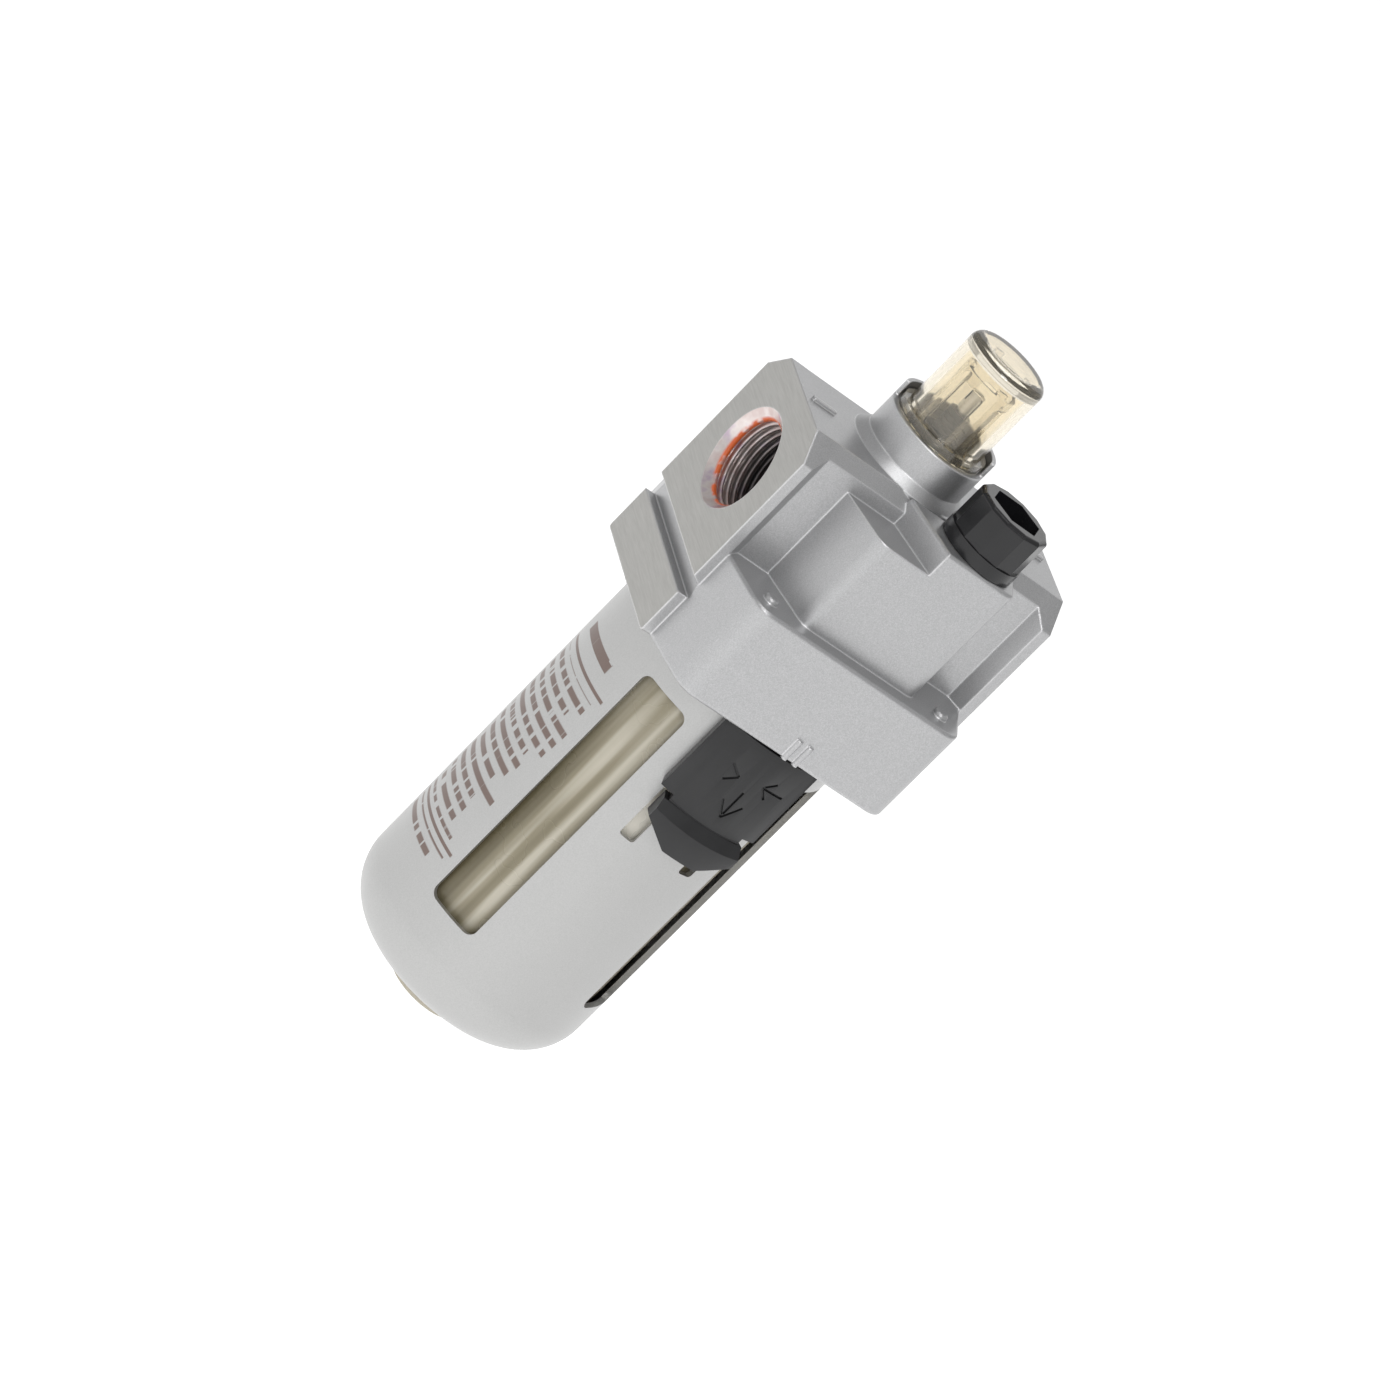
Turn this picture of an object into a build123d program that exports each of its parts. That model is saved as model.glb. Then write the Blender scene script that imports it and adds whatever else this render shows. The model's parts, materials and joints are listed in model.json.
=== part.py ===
"""Modular air line lubricator, 3/8 pipe size.

Frame: the origin is where the pipe axis crosses the bowl axis, +X is the flow direction,
-Y is the front with the lock button, +Z is up. All sizes are in millimetres.
"""
import os
from math import cos, radians, sin, tan

from build123d import *

os.makedirs("parts", exist_ok=True)

# ---------------------------------------------------------------- overall sizes
body_width = 53.0            # over the two port faces, along X
port_depth = 29.2            # port plate, front to back
port_wall = 2.3              # between the bayonet groove of the guard and a port face
port_top = 14.3              # flat top above the pipe axis
port_chamfer = 4.3           # cut corners at the top of the port plates
skirt_top = -8.5             # shelf where the skirt begins
skirt_bottom = -26.8
skirt_wall = 1.8             # between the bayonet groove and the front of the skirt
skirt_front_width = 42.0     # flat front between the rounded corners
skirt_back_width = 38.0
skirt_round = 4.0
dome_height = 38.0           # top of the dome above the pipe axis
bowl_depth = 104.0           # bottom of the bowl below the pipe axis

# ---------------------------------------------------------------- fits
running_gap = 0.05           # radial, for pieces that slide or turn in each other
free_gap = 0.3               # radial, between bodies that must not touch
seat_gap = 0.1               # along an axis, under a moving piece
tolerance = 0.01             # for choosing edges and vertices by their place

# ---------------------------------------------------------------- head
rim_width = 1.8              # outer edge of a port plate
dovetail_depth = 2.2         # 45 degree back wall of a port plate
core_depth = port_depth - 2 * dovetail_depth
groove_low = -18.2           # hooked groove across each port face, for a joining bracket
groove_floor_width = 2.7
groove_lip_height = 0.9      # slanted upper wall
groove_depth = 2.0
groove_floor_rise = 0.3
block_front = 22.5           # raised block on the front, distance from the bowl axis
block_back = 20.5            # the plain block on the back
block_top = 9.6
block_edge_round = 2.6
boss_left = -1.8             # boss of the filling plug, its left edge on the block front
block_left = -11.5
block_right = 12.0
block_flank_left = 5.2       # how far each flank spreads from the front to the core
block_flank_right = 3.4
block_flank_back = 4.0
boss_flank = 5.1
boss_edge_round = 1.0
root_overlap = 1.0           # how far added blocks reach into the solid behind them
pin_boss_x = 18.0            # small round bosses on the shelf
pin_boss_y = 21.6
pin_boss_radius = 1.3
pin_boss_height = 0.9
pin_boss_round = 0.5
rib_x = 1.8                  # pair of small ribs under the front edge of the skirt
rib_pitch = 2.2
rib_length = 4.0
rib_radius = 0.55
flow_mark_length = 4.6       # raised bar on each port plate top
flow_mark_width = 0.9
flow_mark_height = 0.5
edge_round = 0.6

# ---------------------------------------------------------------- port thread G 3/8
thread_major = 16.66
thread_height = 0.855
thread_pitch = 1.337
thread_turns = 6
countersink_step = 0.57      # how far its mouth is wider than the thread, on the radius
port_throat_step = 0.275     # the plain bore behind the thread is smaller by this
passage_radius = 6.6         # central air passage
passage_half_length = 14.5
thread_start = 0.75          # first groove and end of the thread, in pitches
thread_runout = 0.4
thread_flank = 30.0          # half angle of the thread
thread_strip_angle = 12.0    # strip of plain wall beside the thread grooves
thread_strip_place = 45.0    # from straight up, towards the front

# ---------------------------------------------------------------- bayonet and bowl
guard_wall = 1.0
guard_top = -18.4
guard_corner = 10.0
nub_radius = 7.2
nub_drop = 3.5               # how far the nub of the bowl shows below the guard
nub_gap = 0.8
socket_clear = 0.4
lug_reach = 1.9              # how far the lugs stand out of the guard
lug_height = 1.8
lug_top = -19.9
lug_angle = 22.0
lug_slot_angle = 30.0
lug_count = 4
bayonet_turn = 45.0
lug_clear = 0.3
socket_roof = -12.0
seal_bore_inset = 2.7        # from the outside of the guard
seal_bore_depth = 5.6
bowl_gap = 0.8               # between the bowl and the guard
bowl_wall = 2.4
bowl_neck_gap = 0.5
bowl_neck_wall = 3.0
bowl_shoulder_z = -20.0
bowl_top_gap = 0.6
bowl_floor_wall = 2.6
bowl_shoulder_drop = 2.0     # inside cone below the neck
bowl_cone_height = 3.0
seal_section = 1.1           # radius of the bowl seal's section
seal_z = -15.0
ring_height = 1.4            # ring that holds the bowl in the guard

# ---------------------------------------------------------------- guard windows
window_count = 4
window_width = 9.8
window_drop = 6.2            # from the skirt to the windows
window_sill = 16.5           # from the bottom of the guard to the windows
window_round = 1.6
leg_slot_angle = 16.2        # slots beside the lock button
leg_slot_width = 2.8
leg_slot_round = 0.6
leg_slot_top = -30.5
leg_slot_bottom = -54.3
pin_slot_z = -36.0           # guide pin of the lock button, at rest
peg_top = -49.0              # peg on the guard that carries the spring of the button
peg_height = 1.1
peg_half_width = 1.3
peg_gap = 0.4                # to the outside of the button

# ---------------------------------------------------------------- lock button
button_thickness = 2.7
button_half_angle = 22.8
button_top_z = -27.4
button_shoulder_z = -42.6
button_bottom_z = -50.4
button_travel = 3.0
tab_reach = 1.8              # how far the tab stands out of the button
tab_half_angle = 18.8
tab_corner_z = -47.0
tab_foot_angle = 7.0
tab_foot_rise = 0.4
tab_neck_angle = 2.0         # the web above the tab is narrower by this on each side
ledge_z = -43.8
tongue_half_angle = 9.0
tongue_height = 3.0
tongue_thickness = 1.7
tongue_play = 3.0            # degrees free on each side of the bayonet turn
guide_pin_radius = 1.0
clip_radius = 2.2
clip_thickness = 0.35
pocket_half_width = 1.8      # pocket of the spring, open at the back and below
pocket_top = -44.6
spring_radius = 0.95
spring_wire = 0.16
spring_turns = 6

# ---------------------------------------------------------------- dome and drip
dome_x = -4.4                # axis of the sight dome
collar_wall = 1.4
collar_gap = 0.4             # between the skirt of the dome and the collar
collar_rim = 21.2
ear_top = 24.0               # the collar is higher behind the dome
ear_gap = 0.35
ear_turn = -30.5             # the lower half faces this way, from the front towards +X
collar_flare = 1.6
well_radius = 4.6
well_floor = 10.5
riser_entry = 2.0            # height of the oil passage above the floor of the well
collar_floor = 15.4
dome_radius = 7.3
dome_wall = 1.5
dome_top_wall = 2.8
dome_flange_step = 1.05
dome_flange_height = 1.5
dome_edge_round = 1.8
dome_skirt_step = 0.3
dome_seal_section = 0.8
dome_seal_drop = 0.25        # land between the flange and the groove of the seal
dome_floor_gap = 0.6
cup_radius = 4.9
cup_wall = 0.7
cup_top_gap = 1.8            # below the inside of the dome
cup_window_width = 4.2
cup_window_sill = 0.8        # from the rim of the collar
cup_window_inset = 1.8       # from the top of the cup
cup_window_round = 0.9
cup_lug = 0.9
cup_lug_width = 1.6
cup_floor_gap = 1.2
cup_overlap = 0.4            # the foot reaches this far into the tube of the cup
holder_radius = 2.0
holder_drop = 4.2            # below the top of the needle
holder_flange = 1.6
holder_hole_circle = 2.9     # oil holes in the flange of the holder
holder_hole_radius = 0.7
holder_hole_count = 4
holder_grooves = 8           # rings that stand for the thread
holder_groove_pitch = 0.9
holder_groove_width = 0.4
holder_groove_depth = 0.25
holder_first_groove = 0.8
needle_radius = 0.9
needle_drop = 2.8            # below the top of the cup
needle_head_radius = 1.25
needle_head_gap = 0.6
needle_tip_gap = 0.6
needle_slot_width = 0.5
needle_slot_depth = 2.0
needle_point = 0.5
drip_bore = 0.6
nozzle_radius = 1.8
nozzle_drop = 1.0
nozzle_chamfer = 0.8
nozzle_seat = 1.0            # height of its head above the floor of the well

# ---------------------------------------------------------------- filling plug
plug_x = 5.8
plug_y = -15.5
plug_flange_step = 1.9       # from the shank
plug_flange_height = 2.2
plug_head_inset = 0.2        # from the flange
plug_head_top = 23.4
plug_facets = 12
plug_shank_radius = 5.0
plug_shank_length = 7.6
plug_socket_flats = 8.4
plug_socket_depth = 5.0
plug_seal_section = 0.7
plug_seal_slack = 0.12
plug_seal_drop = 1.2
plug_edge_round = 0.7
plug_bore_extra = 1.0
fill_passage_radius = 2.4
fill_passage_x = 4.4
fill_passage_y = -11.6

# ---------------------------------------------------------------- valves and tube
damper_face = -9.7           # downstream face of the damper holder
damper_seat_radius = 5.6
damper_radius = 5.9
damper_thickness = 0.6
damper_hinge_z = 5.3
damper_pin_radius = 0.4
damper_knuckle = 0.75
damper_knuckle_half = 1.6
damper_knuckle_gap = 0.35
damper_tab_height = 2.4
damper_tab_drop = 1.2
damper_seat_offset = 0.2
damper_ear_width = 0.9
damper_ear_gap = 0.2
damper_ear_length = 2.2
damper_ear_height = 1.5
damper_pin_half = 2.5
air_valve_x = -12.0
air_valve_radius = 2.8
air_valve_bore = 0.8
air_ball_radius = 1.1
air_ball_lift = 0.4
air_valve_wall = 0.9
air_valve_cover = 1.2        # wall between the passage and the pocket of the valve
oil_valve_x = dome_x
oil_valve_y = 8.4
oil_valve_radius = 4.0
oil_valve_length = 10.0
oil_valve_round = 0.5
oil_chamber_drop = 4.0
riser_radius = 1.0
oil_ball_radius = 1.5
oil_chamber_radius = 1.9
oil_ball_lift = 0.8
tube_radius = 2.0
tube_bore = 1.2
tube_lift = 9.0              # from the bottom of the guard
tube_grip = 3.0              # length of the tube inside the valve
strainer_radius = 4.2
strainer_height = 6.0
strainer_wall = 1.2
strainer_grip = 2.5
strainer_round = 0.8
strainer_slots = 12
strainer_slot_width = 0.8
strainer_slot_height = 2.6
strainer_slot_depth = 0.8
strainer_slot_drop = 1.5

# ---------------------------------------------------------------- derived values
half_width = body_width / 2
half_depth = port_depth / 2
core_half = core_depth / 2
plate_inner = half_width - rim_width - dovetail_depth
thread_minor = thread_major - 2 * thread_height
countersink = thread_major + 2 * countersink_step
port_throat_radius = thread_minor / 2 - port_throat_step
lug_radius = half_width - port_wall - lug_clear
lug_bottom = lug_top - lug_height
skirt_half_depth = lug_radius + lug_clear + skirt_wall
guard_radius = lug_radius - lug_reach
guard_inner = guard_radius - guard_wall
guard_hole_radius = nub_radius + nub_gap
socket_radius = guard_radius + socket_clear
seal_bore_radius = guard_radius - seal_bore_inset
bowl_bottom = -bowl_depth
bowl_radius = guard_inner - bowl_gap
bowl_neck_radius = seal_bore_radius - bowl_neck_gap
bowl_inner = bowl_radius - bowl_wall
bowl_neck_inner = bowl_neck_radius - bowl_neck_wall
bowl_top = socket_roof - bowl_top_gap
seal_ring_radius = seal_bore_radius - running_gap - seal_section
guard_bottom = bowl_bottom + nub_drop
window_top = skirt_bottom - window_drop
window_bottom = guard_bottom + window_sill
window_middle = (window_top + window_bottom) / 2
window_length = window_top - window_bottom
button_inner = guard_radius + free_gap
button_outer = button_inner + button_thickness
tab_outer = button_outer + tab_reach
tongue_outer = button_inner + tongue_thickness
peg_reach = button_outer - peg_gap
dome_skirt_radius = dome_radius + dome_skirt_step
dome_flange_radius = dome_radius + dome_flange_step
collar_bore = dome_skirt_radius + collar_gap
collar_radius = collar_bore + collar_wall
ear_bore = dome_flange_radius + ear_gap
cup_top = dome_height - dome_top_wall - cup_top_gap
cup_window_low = collar_rim + cup_window_sill
cup_window_high = cup_top - cup_window_inset
needle_top = cup_top - needle_drop
holder_top = needle_top - holder_drop
plug_flange_radius = plug_shank_radius + plug_flange_step
plug_head_radius = plug_flange_radius - plug_head_inset
tube_bottom = guard_bottom + tube_lift
oil_valve_bottom = socket_roof - oil_valve_length
holder_bottom = well_floor + nozzle_seat
air_seat_top = -passage_radius - air_valve_cover


def turned(angle, radius):
    """Point on the XY plane at an angle from the front (-Y), positive towards +X."""
    return (radius * sin(radians(angle)), -radius * cos(radians(angle)))


def export(part, name):
    """Label one finished piece and write it."""
    part.label = name
    export_step(part, f"parts/{name}.step")


def plate_profile(depth, top, chamfer_size, bottom):
    """Port plate outline in the YZ plane: a rectangle with both upper corners cut."""
    return [
        (-depth, bottom),
        (-depth, top - chamfer_size),
        (-depth + chamfer_size, top),
        (depth - chamfer_size, top),
        (depth, top - chamfer_size),
        (depth, bottom),
    ]


def skirt_edges(edges, height):
    """Horizontal edges of the skirt at one height, without those in the port faces."""
    level = edges.filter_by(lambda e: abs(e.bounding_box().min.Z - e.bounding_box().max.Z) < tolerance)
    level = level.filter_by(lambda e: abs(e.center().Z - height) < tolerance)
    return level.filter_by(lambda e: abs(e.center().X) < half_width - tolerance)


def rim_edges(edges, height, first_y, last_y):
    """Horizontal edges at one height whose middle lies between two Y values."""
    level = edges.filter_by(lambda e: abs(e.bounding_box().min.Z - e.bounding_box().max.Z) < tolerance)
    level = level.filter_by(lambda e: abs(e.center().Z - height) < tolerance)
    return level.filter_by(lambda e: first_y < e.center().Y < last_y)


def ring_sector(inner, outer, middle_angle, span):
    """Closed sector of a ring round the origin of the current sketch."""
    first = middle_angle - span / 2
    last = middle_angle + span / 2
    with BuildLine() as outline:
        ThreePointArc(turned(first, outer), turned(middle_angle, outer), turned(last, outer))
        Line(turned(last, outer), turned(last, inner))
        ThreePointArc(turned(last, inner), turned(middle_angle, inner), turned(first, inner))
        Line(turned(first, inner), turned(first, outer))
    make_face(outline.edges())


# ---------------------------------------------------------------- head body
skirt_corner_x = skirt_front_width / 2
skirt_back_x = skirt_back_width / 2
rim_x = half_width - rim_width
skirt_outline = [
    (-half_width, -half_depth),
    (-rim_x, -half_depth),
    (-skirt_corner_x, -skirt_half_depth),
    (skirt_corner_x, -skirt_half_depth),
    (rim_x, -half_depth),
    (half_width, -half_depth),
    (half_width, half_depth),
    (rim_x, half_depth),
    (skirt_back_x, skirt_half_depth),
    (-skirt_back_x, skirt_half_depth),
    (-rim_x, half_depth),
    (-half_width, half_depth),
]
plate_bottom = skirt_top - dovetail_depth - rim_width

with BuildPart() as head_body:
    # skirt around the top of the bowl guard
    with BuildSketch(Plane.XY.offset(skirt_bottom)) as skirt_plan:
        Polygon(*skirt_outline, align=None)
        corners = skirt_plan.vertices().filter_by(lambda v: abs(abs(v.Y) - skirt_half_depth) < tolerance)
        fillet(corners, radius=skirt_round)
    extrude(amount=skirt_top - skirt_bottom)
    skirt_rims = skirt_edges(head_body.edges(), skirt_top) + skirt_edges(head_body.edges(), skirt_bottom)
    fillet(skirt_rims, radius=edge_round)
    # core between the port plates
    with BuildSketch(Plane.YZ.offset(-rim_x)):
        Polygon(*plate_profile(core_half, port_top, dovetail_depth, plate_bottom), align=None)
    extrude(amount=2 * rim_x)
    # port plates: outer rim and the dovetail behind it
    plate = plate_profile(half_depth, port_top, port_chamfer, plate_bottom)
    for side in (-1, 1):
        with BuildSketch(Plane.YZ.offset(side * half_width)):
            Polygon(*plate, align=None)
        extrude(amount=-side * rim_width)
        with BuildSketch(Plane.YZ.offset(side * rim_x)):
            Polygon(*plate, align=None)
        with BuildSketch(Plane.YZ.offset(side * plate_inner)):
            Polygon(*plate_profile(core_half, port_top, dovetail_depth, plate_bottom), align=None)
        loft()
    # raised block on the front, with its left part lower than the boss of the plug
    with BuildSketch(Plane.XY.offset(skirt_top - root_overlap)) as block_plan:
        with BuildLine():
            Polyline(
                (block_left - block_flank_left, -core_half + root_overlap),
                (block_left, -block_front),
                (block_right, -block_front),
                (block_right + block_flank_right, -core_half + root_overlap),
                close=True,
            )
        make_face()
        front_corners = block_plan.vertices().filter_by(lambda v: v.Y < -block_front + tolerance)
        fillet(front_corners, radius=block_edge_round)
    extrude(amount=block_top - skirt_top + root_overlap)
    with BuildSketch(Plane.XY.offset(skirt_top - root_overlap)) as boss_plan:
        with BuildLine():
            Polyline(
                (boss_left - boss_flank, -core_half + root_overlap),
                (boss_left, -block_front),
                (block_right, -block_front),
                (block_right + block_flank_right, -core_half + root_overlap),
                close=True,
            )
        make_face()
        right_corner = boss_plan.vertices().filter_by(lambda v: v.Y < -block_front + tolerance)
        fillet(right_corner.sort_by(Axis.X)[-1:], radius=block_edge_round)
        fillet(right_corner.sort_by(Axis.X)[:1], radius=boss_edge_round)
    extrude(amount=port_top - skirt_top + root_overlap)
    front_rim = rim_edges(head_body.edges(), port_top, -block_front - tolerance, -core_half - tolerance)
    fillet(front_rim, radius=edge_round)
    # plain block on the back
    with BuildSketch(Plane.XY.offset(skirt_top - root_overlap)) as back_plan:
        with BuildLine():
            Polyline(
                (block_left - block_flank_back, core_half - root_overlap),
                (block_left, block_back),
                (-block_left, block_back),
                (block_flank_back - block_left, core_half - root_overlap),
                close=True,
            )
        make_face()
        back_corners = back_plan.vertices().filter_by(lambda v: v.Y > block_back - tolerance)
        fillet(back_corners, radius=block_edge_round)
    extrude(amount=block_top - skirt_top + root_overlap)
    back_rim = rim_edges(head_body.edges(), block_top, core_half + tolerance, block_back + tolerance)
    fillet(back_rim, radius=edge_round)
    # collar of the sight dome with its flared foot
    with BuildSketch(Plane.XZ) as collar_profile:
        with BuildLine():
            Polyline(
                (dome_x, port_top - root_overlap),
                (dome_x + collar_radius + collar_flare, port_top - root_overlap),
                (dome_x + collar_radius + collar_flare, port_top),
                (dome_x + collar_radius, port_top + collar_flare),
                (dome_x + collar_radius, ear_top),
                (dome_x, ear_top),
                close=True,
            )
        make_face()
    revolve(axis=Axis((dome_x, 0, 0), (0, 0, 1)))
    with BuildSketch(Plane.XY.offset(collar_rim)):
        with Locations((dome_x, 0)):
            Circle(ear_bore)
            Rectangle(
                4 * collar_radius,
                2 * collar_radius,
                rotation=ear_turn,
                align=(Align.CENTER, Align.MAX),
            )
    extrude(amount=ear_top - collar_rim, mode=Mode.SUBTRACT)
    # flat seat round the filling plug
    with Locations((plug_x, plug_y, port_top)):
        Cylinder(
            plug_flange_radius + free_gap,
            plug_head_top - port_top,
            align=(Align.CENTER, Align.CENTER, Align.MIN),
            mode=Mode.SUBTRACT,
        )
    # small features on the outside
    pin_bosses = [(x, y, skirt_top) for x in (-pin_boss_x, pin_boss_x) for y in (-pin_boss_y, pin_boss_y)]
    with Locations(*pin_bosses):
        Cylinder(pin_boss_radius, pin_boss_height, align=(Align.CENTER, Align.CENTER, Align.MIN))
    boss_tops = head_body.edges().filter_by(GeomType.CIRCLE)
    boss_tops = boss_tops.filter_by(lambda e: abs(e.center().Z - skirt_top - pin_boss_height) < tolerance)
    fillet(boss_tops, radius=pin_boss_round)
    for step in (-0.5, 0.5):
        with Locations((rib_x + step * rib_pitch, -skirt_half_depth, skirt_bottom)):
            Cylinder(
                rib_radius,
                rib_length,
                rotation=(0, 0, 90),
                align=(Align.CENTER, Align.CENTER, Align.MIN),
            )
    with Locations((-plate_inner, 0, port_top), (plate_inner, 0, port_top)):
        Box(
            flow_mark_length,
            flow_mark_width,
            flow_mark_height,
            align=(Align.CENTER, Align.CENTER, Align.MIN),
        )
    # collar bore and well
    with Locations((dome_x, 0, collar_floor)):
        Cylinder(
            collar_bore,
            ear_top - collar_floor,
            align=(Align.CENTER, Align.CENTER, Align.MIN),
            mode=Mode.SUBTRACT,
        )
    with Locations((dome_x, 0, well_floor)):
        Cylinder(
            well_radius,
            collar_floor - well_floor,
            align=(Align.CENTER, Align.CENTER, Align.MIN),
            mode=Mode.SUBTRACT,
        )
    with Locations((dome_x, 0, 0)):
        Cylinder(
            nozzle_radius,
            well_floor,
            align=(Align.CENTER, Align.CENTER, Align.MIN),
            mode=Mode.SUBTRACT,
        )
    # central passage
    with BuildSketch(Plane.YZ.offset(-passage_half_length)):
        Circle(passage_radius)
    extrude(amount=2 * passage_half_length, mode=Mode.SUBTRACT)
    # port bores with their countersinks
    bore_lead = (countersink - thread_minor) / 2
    bore_mouth = half_width + root_overlap
    thread_end = half_width - bore_lead - (thread_turns + thread_runout) * thread_pitch
    for side in (-1, 1):
        with BuildSketch(Plane.XZ):
            with BuildLine():
                Polyline(
                    (side * bore_mouth, 0),
                    (side * bore_mouth, countersink / 2),
                    (side * half_width, countersink / 2),
                    (side * (half_width - bore_lead), thread_minor / 2),
                    (side * thread_end, thread_minor / 2),
                    (side * thread_end, port_throat_radius),
                    (side * passage_half_length, port_throat_radius),
                    (side * passage_half_length, 0),
                    close=True,
                )
            make_face()
        revolve(axis=Axis.X, mode=Mode.SUBTRACT)
    # thread as ring-shaped grooves; a narrow strip towards the upper front stays at the minor
    # diameter over the whole length, so that the bore keeps one unbroken wall
    groove_half = thread_height * tan(radians(thread_flank))
    strip_end = radians(thread_strip_place + thread_strip_angle / 2)
    thread_plane = Plane((0, 0, 0), x_dir=(1, 0, 0), z_dir=(0, -cos(strip_end), -sin(strip_end)))
    for side in (-1, 1):
        with BuildSketch(thread_plane):
            for turn in range(thread_turns):
                middle = half_width - bore_lead - (turn + thread_start) * thread_pitch
                with BuildLine():
                    Polyline(
                        (side * (middle + groove_half), thread_minor / 2),
                        (side * middle, thread_major / 2),
                        (side * (middle - groove_half), thread_minor / 2),
                        (side * (middle - groove_half), thread_minor / 2 - thread_height),
                        (side * (middle + groove_half), thread_minor / 2 - thread_height),
                        close=True,
                    )
                make_face()
        revolve(axis=Axis.X, revolution_arc=360 - thread_strip_angle, mode=Mode.SUBTRACT)
    # hooked groove across each port face: square lower wall, slanted upper wall
    groove_high = groove_low + groove_floor_width
    for side in (-1, 1):
        with BuildSketch(Plane.XZ):
            with BuildLine():
                Polyline(
                    (side * bore_mouth, groove_low),
                    (side * (half_width - groove_depth), groove_low),
                    (side * (half_width - groove_depth + groove_floor_rise), groove_high),
                    (side * half_width, groove_high + groove_lip_height),
                    (side * bore_mouth, groove_high + groove_lip_height),
                    close=True,
                )
            make_face()
        extrude(amount=port_depth, both=True, mode=Mode.SUBTRACT)
    # bore and passage of the filling plug
    with Locations((plug_x, plug_y, port_top)):
        Cylinder(
            plug_shank_radius + running_gap,
            plug_shank_length + plug_bore_extra,
            align=(Align.CENTER, Align.CENTER, Align.MAX),
            mode=Mode.SUBTRACT,
        )
    with Locations((fill_passage_x, fill_passage_y, socket_roof)):
        Cylinder(
            fill_passage_radius,
            port_top - plug_shank_length + plug_bore_extra - socket_roof,
            align=(Align.CENTER, Align.CENTER, Align.MIN),
            mode=Mode.SUBTRACT,
        )
    # oil riser from the check valve to the well under the dome
    with Locations((oil_valve_x, oil_valve_y, socket_roof)):
        Cylinder(
            riser_radius,
            well_floor + riser_entry + riser_radius - socket_roof,
            align=(Align.CENTER, Align.CENTER, Align.MIN),
            mode=Mode.SUBTRACT,
        )
    with Locations((oil_valve_x, oil_valve_y / 2, well_floor + riser_entry)):
        Cylinder(riser_radius, oil_valve_y, rotation=(90, 0, 0), mode=Mode.SUBTRACT)
    # pocket of the air check valve
    with Locations((air_valve_x, 0, socket_roof)):
        Cylinder(
            air_valve_radius,
            air_seat_top - socket_roof,
            align=(Align.CENTER, Align.CENTER, Align.MIN),
            mode=Mode.SUBTRACT,
        )
        Cylinder(
            air_valve_bore,
            -socket_roof,
            align=(Align.CENTER, Align.CENTER, Align.MIN),
            mode=Mode.SUBTRACT,
        )
    # bowl socket: seal bore above, guard socket below
    with Locations((0, 0, skirt_bottom)):
        Cylinder(
            socket_radius,
            socket_roof - seal_bore_depth - skirt_bottom,
            align=(Align.CENTER, Align.CENTER, Align.MIN),
            mode=Mode.SUBTRACT,
        )
        Cylinder(
            seal_bore_radius,
            socket_roof - skirt_bottom,
            align=(Align.CENTER, Align.CENTER, Align.MIN),
            mode=Mode.SUBTRACT,
        )
    with Locations((0, 0, lug_bottom - lug_clear)):
        Cylinder(
            lug_radius + lug_clear,
            lug_height + 2 * lug_clear,
            align=(Align.CENTER, Align.CENTER, Align.MIN),
            mode=Mode.SUBTRACT,
        )
    for step in range(lug_count):
        with BuildSketch(Plane.XY.offset(skirt_bottom)):
            ring_sector(socket_radius - root_overlap, lug_radius + lug_clear, 90 * step, lug_slot_angle)
        extrude(amount=lug_bottom - lug_clear - skirt_bottom, mode=Mode.SUBTRACT)
    # recess of the lock tongue, wide enough for the whole bayonet turn
    tongue_span = 2 * tongue_half_angle + bayonet_turn + 2 * tongue_play
    with BuildSketch(Plane.XY.offset(skirt_bottom)):
        ring_sector(socket_radius - root_overlap, tongue_outer + free_gap, bayonet_turn / 2, tongue_span)
    extrude(amount=button_top_z + tongue_height + 2 * free_gap - skirt_bottom, mode=Mode.SUBTRACT)

export(head_body.part, "head_body")

# ---------------------------------------------------------------- flow damper
with BuildPart() as damper_holder:
    with BuildSketch(Plane.YZ.offset(-passage_half_length)):
        Circle(passage_radius)
        Circle(damper_seat_radius, mode=Mode.SUBTRACT)
    extrude(amount=damper_face + passage_half_length)
    ear_y = damper_knuckle_half + damper_ear_gap + damper_ear_width / 2
    with Locations(*[(damper_face, side * ear_y, damper_hinge_z) for side in (-1, 1)]):
        Box(
            damper_ear_length,
            damper_ear_width,
            damper_ear_height,
            align=(Align.MIN, Align.CENTER, Align.CENTER),
        )
    hinge_x = damper_face + damper_knuckle + damper_knuckle_gap
    with Locations((hinge_x, 0, damper_hinge_z)):
        Cylinder(damper_pin_radius, 2 * passage_radius, rotation=(90, 0, 0), mode=Mode.SUBTRACT)
    with Locations((air_valve_x, 0, -passage_radius)):
        Cylinder(air_valve_bore, 2 * passage_radius, mode=Mode.SUBTRACT)

export(damper_holder.part, "damper_holder")

with BuildPart() as damper_pin:
    with Locations((hinge_x, 0, damper_hinge_z)):
        Cylinder(damper_pin_radius, 2 * damper_pin_half, rotation=(90, 0, 0))

export(damper_pin.part, "damper_pin")

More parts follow.
